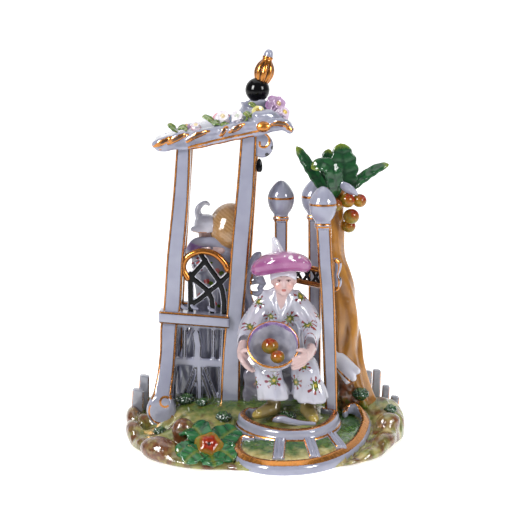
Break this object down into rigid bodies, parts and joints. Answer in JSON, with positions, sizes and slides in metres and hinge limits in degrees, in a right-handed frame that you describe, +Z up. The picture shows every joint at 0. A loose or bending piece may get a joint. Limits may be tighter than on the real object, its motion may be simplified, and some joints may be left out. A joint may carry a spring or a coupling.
{
  "type": "porcelain figure group with pavilion",
  "caption": "Glazed and gilt porcelain group on a mossy mound: seated figure with a fruit bowl, open pavilion with a second figure, bud-topped posts and a palm.",
  "frame": {"origin": "centre of the flat underside of the mound", "axes": "+Z up, +X to the viewer's right, the figures face -Y"},
  "size_m": [0.215, 0.1837, 0.295],
  "materials": {
    "painted_porcelain": "gloss glaze, white with gilt lines",
    "flowered_robe": "gloss glaze, white with painted sprays",
    "ground_glaze": "gloss glaze, greens, yellow and brown",
    "black_enamel": "gloss",
    "gilt_bud": "gloss black glaze and bright gilding",
    "gilt_lattice": "gloss, gilt rails and black bars",
    "purple_glaze": "gloss",
    "lavender_glaze": "gloss",
    "yellow_glaze": "gloss",
    "leaf_glaze": "gloss, pale green tips",
    "trunk_glaze": "gloss, streaked ochre",
    "fruit_glaze": "gloss, ochre with red top",
    "straw_glaze": "gloss",
    "stone_glaze": "gloss",
    "rock_glaze": "gloss"
  },
  "bodies": {
    "root": {"roof_canopy": "painted_porcelain", "leg_front_left": "painted_porcelain", "leg_front_right": "painted_porcelain", "leg_back_left": "painted_porcelain", "leg_back_right": "painted_porcelain", "rail_front": "painted_porcelain", "rail_left": "painted_porcelain", "rail_right": "painted_porcelain", "rail_back": "painted_porcelain", "panel_front": "painted_porcelain", "panel_left": "painted_porcelain", "panel_right": "painted_porcelain", "panel_back": "painted_porcelain", "eave_scroll": "painted_porcelain", "post_front": "painted_porcelain", "post_left": "painted_porcelain", "post_right": "painted_porcelain", "fence_curl": "painted_porcelain", "palm_petal": "painted_porcelain", "bowl": "painted_porcelain", "robe_end": "painted_porcelain", "rocaille_scroll": "painted_porcelain", "inner_figure": "painted_porcelain", "blossom_white_pink": "painted_porcelain", "blossom_white_blue": "painted_porcelain", "blossom_bud_white": "painted_porcelain", "seated_figure": "flowered_robe", "base_mound": "ground_glaze", "lattice_arch": "black_enamel", "eave_bell": "black_enamel", "finial": "gilt_bud", "fence_lattice": "gilt_lattice", "seated_figure_hat": "purple_glaze", "blossom_purple_left": "purple_glaze", "blossom_purple_right": "purple_glaze", "blossom_lavender": "lavender_glaze", "blossom_yellow": "yellow_glaze", "palm_leaf_1": "leaf_glaze", "palm_leaf_2": "leaf_glaze", "palm_leaf_3": "leaf_glaze", "palm_leaf_4": "leaf_glaze", "palm_leaf_5": "leaf_glaze", "palm_trunk": "trunk_glaze", "palm_fruit_1": "fruit_glaze", "palm_fruit_2": "fruit_glaze", "palm_fruit_3": "fruit_glaze", "palm_fruit_4": "fruit_glaze", "palm_fruit_5": "fruit_glaze", "bowl_apple_back": "fruit_glaze", "bowl_apple_front": "fruit_glaze", "inner_straw_hat": "straw_glaze", "stone_seat": "stone_glaze", "stump_1": "stone_glaze", "stump_2": "stone_glaze", "stump_3": "stone_glaze", "stump_4": "stone_glaze", "stump_5": "stone_glaze", "stump_6": "stone_glaze", "brown_rock": "rock_glaze"}
  },
  "joints": []
}
